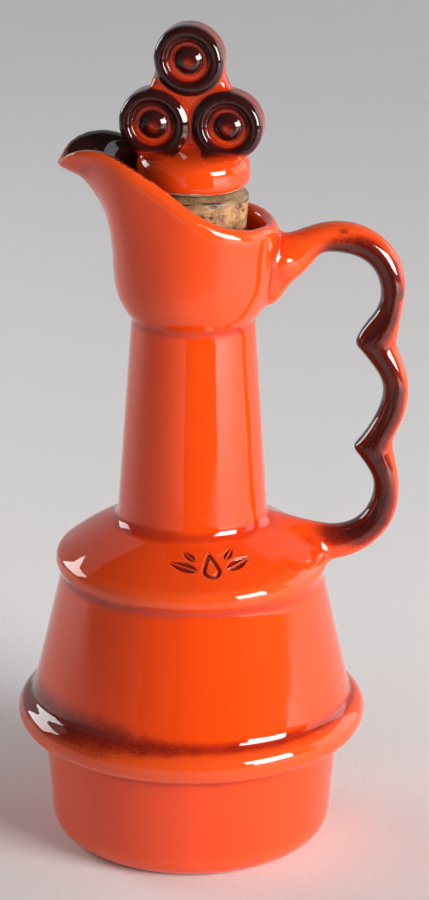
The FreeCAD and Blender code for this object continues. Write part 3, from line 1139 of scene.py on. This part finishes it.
@dataclass
class Cork:
    """The tapered cork under the knob. Sizes are in millimetres, the voxel's apart."""

    voxel: float = 0.4 * MM
    bark: CorkBark = field(default_factory=CorkBark)
    top: float = 165.25
    length: float = 34.0
    radius: float = 13.2
    taper: float = 0.0735
    chamfer: float = 0.6
    worn: float = 1.9
    hole: float = 5.15
    hole_depth: float = 14.4
    stain: Pair = (-3.4, -2.2)
    pits: int = 90
    pit_depth: float = 0.35
    pit_side: Pair = (9.5, 10.2)
    seed: int = 7

    def build(self) -> bpy.types.Object:
        """Shape the cork and dress it.

        Returns:
            The dressed cork.
        """
        piece = skin([turned(self.profile())], "cork", self.voxel)
        grid = Grid(piece.data)
        grid.relax(3)
        pit = self.pitting(grid.points)
        grid.points -= grid.normals() * (pit * self.pit_depth * MM)[:, None]
        grid.write()
        grid.paint(Layer.STAIN, step(grid.points[:, 2] / MM - self.top, *self.stain))
        grid.paint(Layer.PIT, pit)
        piece.data.materials.append(self.bark.material())
        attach(piece, "stopper")
        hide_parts("stopper_cork")
        return piece

    def profile(self) -> list[Pair]:
        """Draw the cork's outline, with its worn top corner and the hole for the peg.

        Returns:
            The outline as (radius, height).
        """
        foot = self.top - self.length
        foot_radius = self.radius - self.taper * self.length
        corner = self.radius - self.taper * self.worn
        hole_foot = self.top - self.hole_depth
        return [
            (0, foot), (foot_radius - self.chamfer, foot), (foot_radius, foot + self.chamfer),
            (corner, self.top - self.worn), (corner - self.worn * 0.9, self.top - 0.05),
            (self.hole, self.top), (self.hole, hole_foot), (0, hole_foot),
        ]

    def pitting(self, points: Array) -> Array:
        """Return the flat pits in the cork's side.

        Args:
            points: Places in metres.

        Returns:
            A number from 0 to 1 at each place.
        """
        chance = np.random.default_rng(self.seed)
        x, y, z = points.T / MM
        radius = np.hypot(x, y)
        turn = np.arctan2(y, x)
        pitted = np.zeros(len(points))
        for _ in range(self.pits):
            middle = chance.uniform(-math.pi, math.pi)
            height = chance.uniform(self.top - 33, self.top - 1)
            length = chance.uniform(0.6, 2.2)
            width = chance.uniform(0.25, 0.6)
            along = (np.mod(turn - middle + math.pi, math.tau) - math.pi) * radius
            away = np.hypot(along / length, (z - height) / width)
            pitted = np.maximum(pitted, 1 - step(away, 0.5, 1.1))
        return pitted * step(radius, *self.pit_side)


@dataclass(frozen=True)
class Softbox:
    """A lamp behind a square diffuser, set by its direction from the middle of the cruet."""

    name: str
    turn: float
    rise: float
    away: float
    width: float
    height: float
    power: float
    mirrored: bool = True
    aim: Place = (0.0, 0.0, 0.10)

    def build(self) -> bpy.types.Object:
        """Hang the lamp, turned towards its aim.

        Returns:
            The lamp.
        """
        turn = math.radians(self.turn)
        rise = math.radians(self.rise)
        out = Vector((math.sin(turn) * math.cos(rise), -math.cos(turn) * math.cos(rise), math.sin(rise)))
        lamp = bpy.data.lights.new(self.name, "AREA")
        lamp.shape = "RECTANGLE"
        lamp.size = self.width
        lamp.size_y = self.height
        lamp.energy = self.power
        holder = placed(self.name, lamp)
        holder.location = Vector(self.aim) + out * self.away
        holder.rotation_euler = out.to_track_quat("Z", "Y").to_euler()
        holder.visible_camera = False
        holder.visible_glossy = self.mirrored
        return holder


@dataclass
class Studio:
    """Camera, sweep of paper, soft lamps and a black card. Sizes are in metres, angles in radians."""

    distance: float = 0.8
    elevation: float = 0.329
    tilt: float = 0.001
    yaw: float = 0.007
    roll: float = 0.007
    look_height: float = 0.1
    focal_pixels: float = 3299.2
    sheet_pixels: float = 900.0
    sensor: float = 36.0
    lamps: tuple[Softbox, ...] = (
        Softbox("right_box", 52, 14, 0.9, 0.50, 0.42, 11.0),
        Softbox("left_box", -122, 18, 0.9, 0.42, 0.36, 2.6),
        Softbox("front_fill", -15, 25, 1.2, 0.80, 0.80, 1.6, False),
        Softbox("right_wall", 112, 8, 1.3, 1.2, 0.9, 4.5),
        Softbox("left_wall", -72, 4, 1.2, 1.6, 0.9, 0.45),
    )
    paper: Paper = field(default_factory=Paper)
    floor_ends: Pair = (-3.0, 1.1)
    paper_bend: float = 0.9
    paper_top: Pair = (2.0, 3.5)
    paper_half_width: float = 4.0
    felt: Felt = field(default_factory=Felt)
    card: Outline = ((-0.10, -0.43, 0.0), (0.33, -0.40, 0.0), (0.33, -0.40, 0.17), (-0.10, -0.43, 0.17))
    room_colour: Colour = (0.9, 0.92, 1.0)
    room_strength: float = 0.06

    def camera(self) -> bpy.types.Object:
        """Set up the camera at the viewing angle of the picture.

        Returns:
            The camera.
        """
        pitch = self.elevation + self.tilt
        level = math.cos(pitch)
        forward = Vector((math.sin(self.yaw) * level, math.cos(self.yaw) * level, -math.sin(pitch)))
        right = forward.cross(Vector((0, 0, 1))).normalized()
        up = right.cross(forward)
        across = right * math.cos(self.roll) + up * math.sin(self.roll)
        upright = up * math.cos(self.roll) - right * math.sin(self.roll)
        lens = bpy.data.cameras.new("camera")
        lens.sensor_width = self.sensor
        lens.lens = self.focal_pixels * self.sensor / self.sheet_pixels
        lens.clip_start = 0.01
        lens.clip_end = 50.0
        back = self.distance * math.cos(self.elevation)
        place = Vector((0, -back, self.look_height + self.distance * math.sin(self.elevation)))
        holder = placed("camera", lens)
        axes = Matrix((across, upright, -forward)).transposed().to_4x4()
        holder.matrix_world = Matrix.Translation(place) @ axes
        bpy.context.scene.camera = holder
        return holder

    def sweep(self) -> bpy.types.Object:
        """Lay the floor that curves up into the backdrop.

        Returns:
            The sheet of paper.
        """
        bend = self.paper_bend
        line = [(end, 0.0) for end in self.floor_ends]
        line += arc((self.floor_ends[1], bend), (bend, bend), 0.1 - QUARTER, 0, 16)
        line.append(self.paper_top)
        sheet = bmesh.new()
        sides = (-self.paper_half_width, self.paper_half_width)
        rows = [[sheet.verts.new((x, y, z)) for x in sides] for y, z in line]
        for low, high in zip(rows, rows[1:]):
            sheet.faces.new((low[0], low[1], high[1], high[0]))
        mesh = mesh_of(sheet, "sweep")
        mesh.shade_smooth()
        mesh.materials.append(self.paper.material())
        made = placed("sweep", mesh)
        return made

    def flag(self) -> bpy.types.Object:
        """Stand up the black card that keeps the front of the room dark in the glaze.

        Returns:
            The card.
        """
        card = bmesh.new()
        card.faces.new([card.verts.new(corner) for corner in self.card])
        mesh = mesh_of(card, "flag")
        mesh.materials.append(self.felt.material())
        made = placed("flag", mesh)
        made.visible_camera = False
        return made

    def surroundings(self) -> None:
        """Set the dim even light of the room."""
        world = bpy.data.worlds.new("room")
        bpy.context.scene.world = world
        world.use_nodes = True
        sky = world.node_tree.nodes["Background"]
        sky.inputs["Color"].default_value = (*self.room_colour, 1.0)
        sky.inputs["Strength"].default_value = self.room_strength

    def build(self) -> None:
        """Set up camera, paper, card, lamps and room."""
        bpy.context.scene.view_settings.view_transform = "Standard"
        self.camera()
        self.sweep()
        self.flag()
        self.surroundings()
        for lamp in self.lamps:
            lamp.build()


def main() -> None:
    """Build the studio and every piece, and report each."""
    logging.basicConfig(level=logging.INFO, format="%(message)s")
    Studio().build()
    LOG.info("studio: camera, paper, card and lamps")
    for maker in (Vessel(), Knob(), Cork()):
        piece = maker.build()
        LOG.info("%s: %d faces", piece.name, len(piece.data.polygons))


if __name__ == "__main__":
    main()
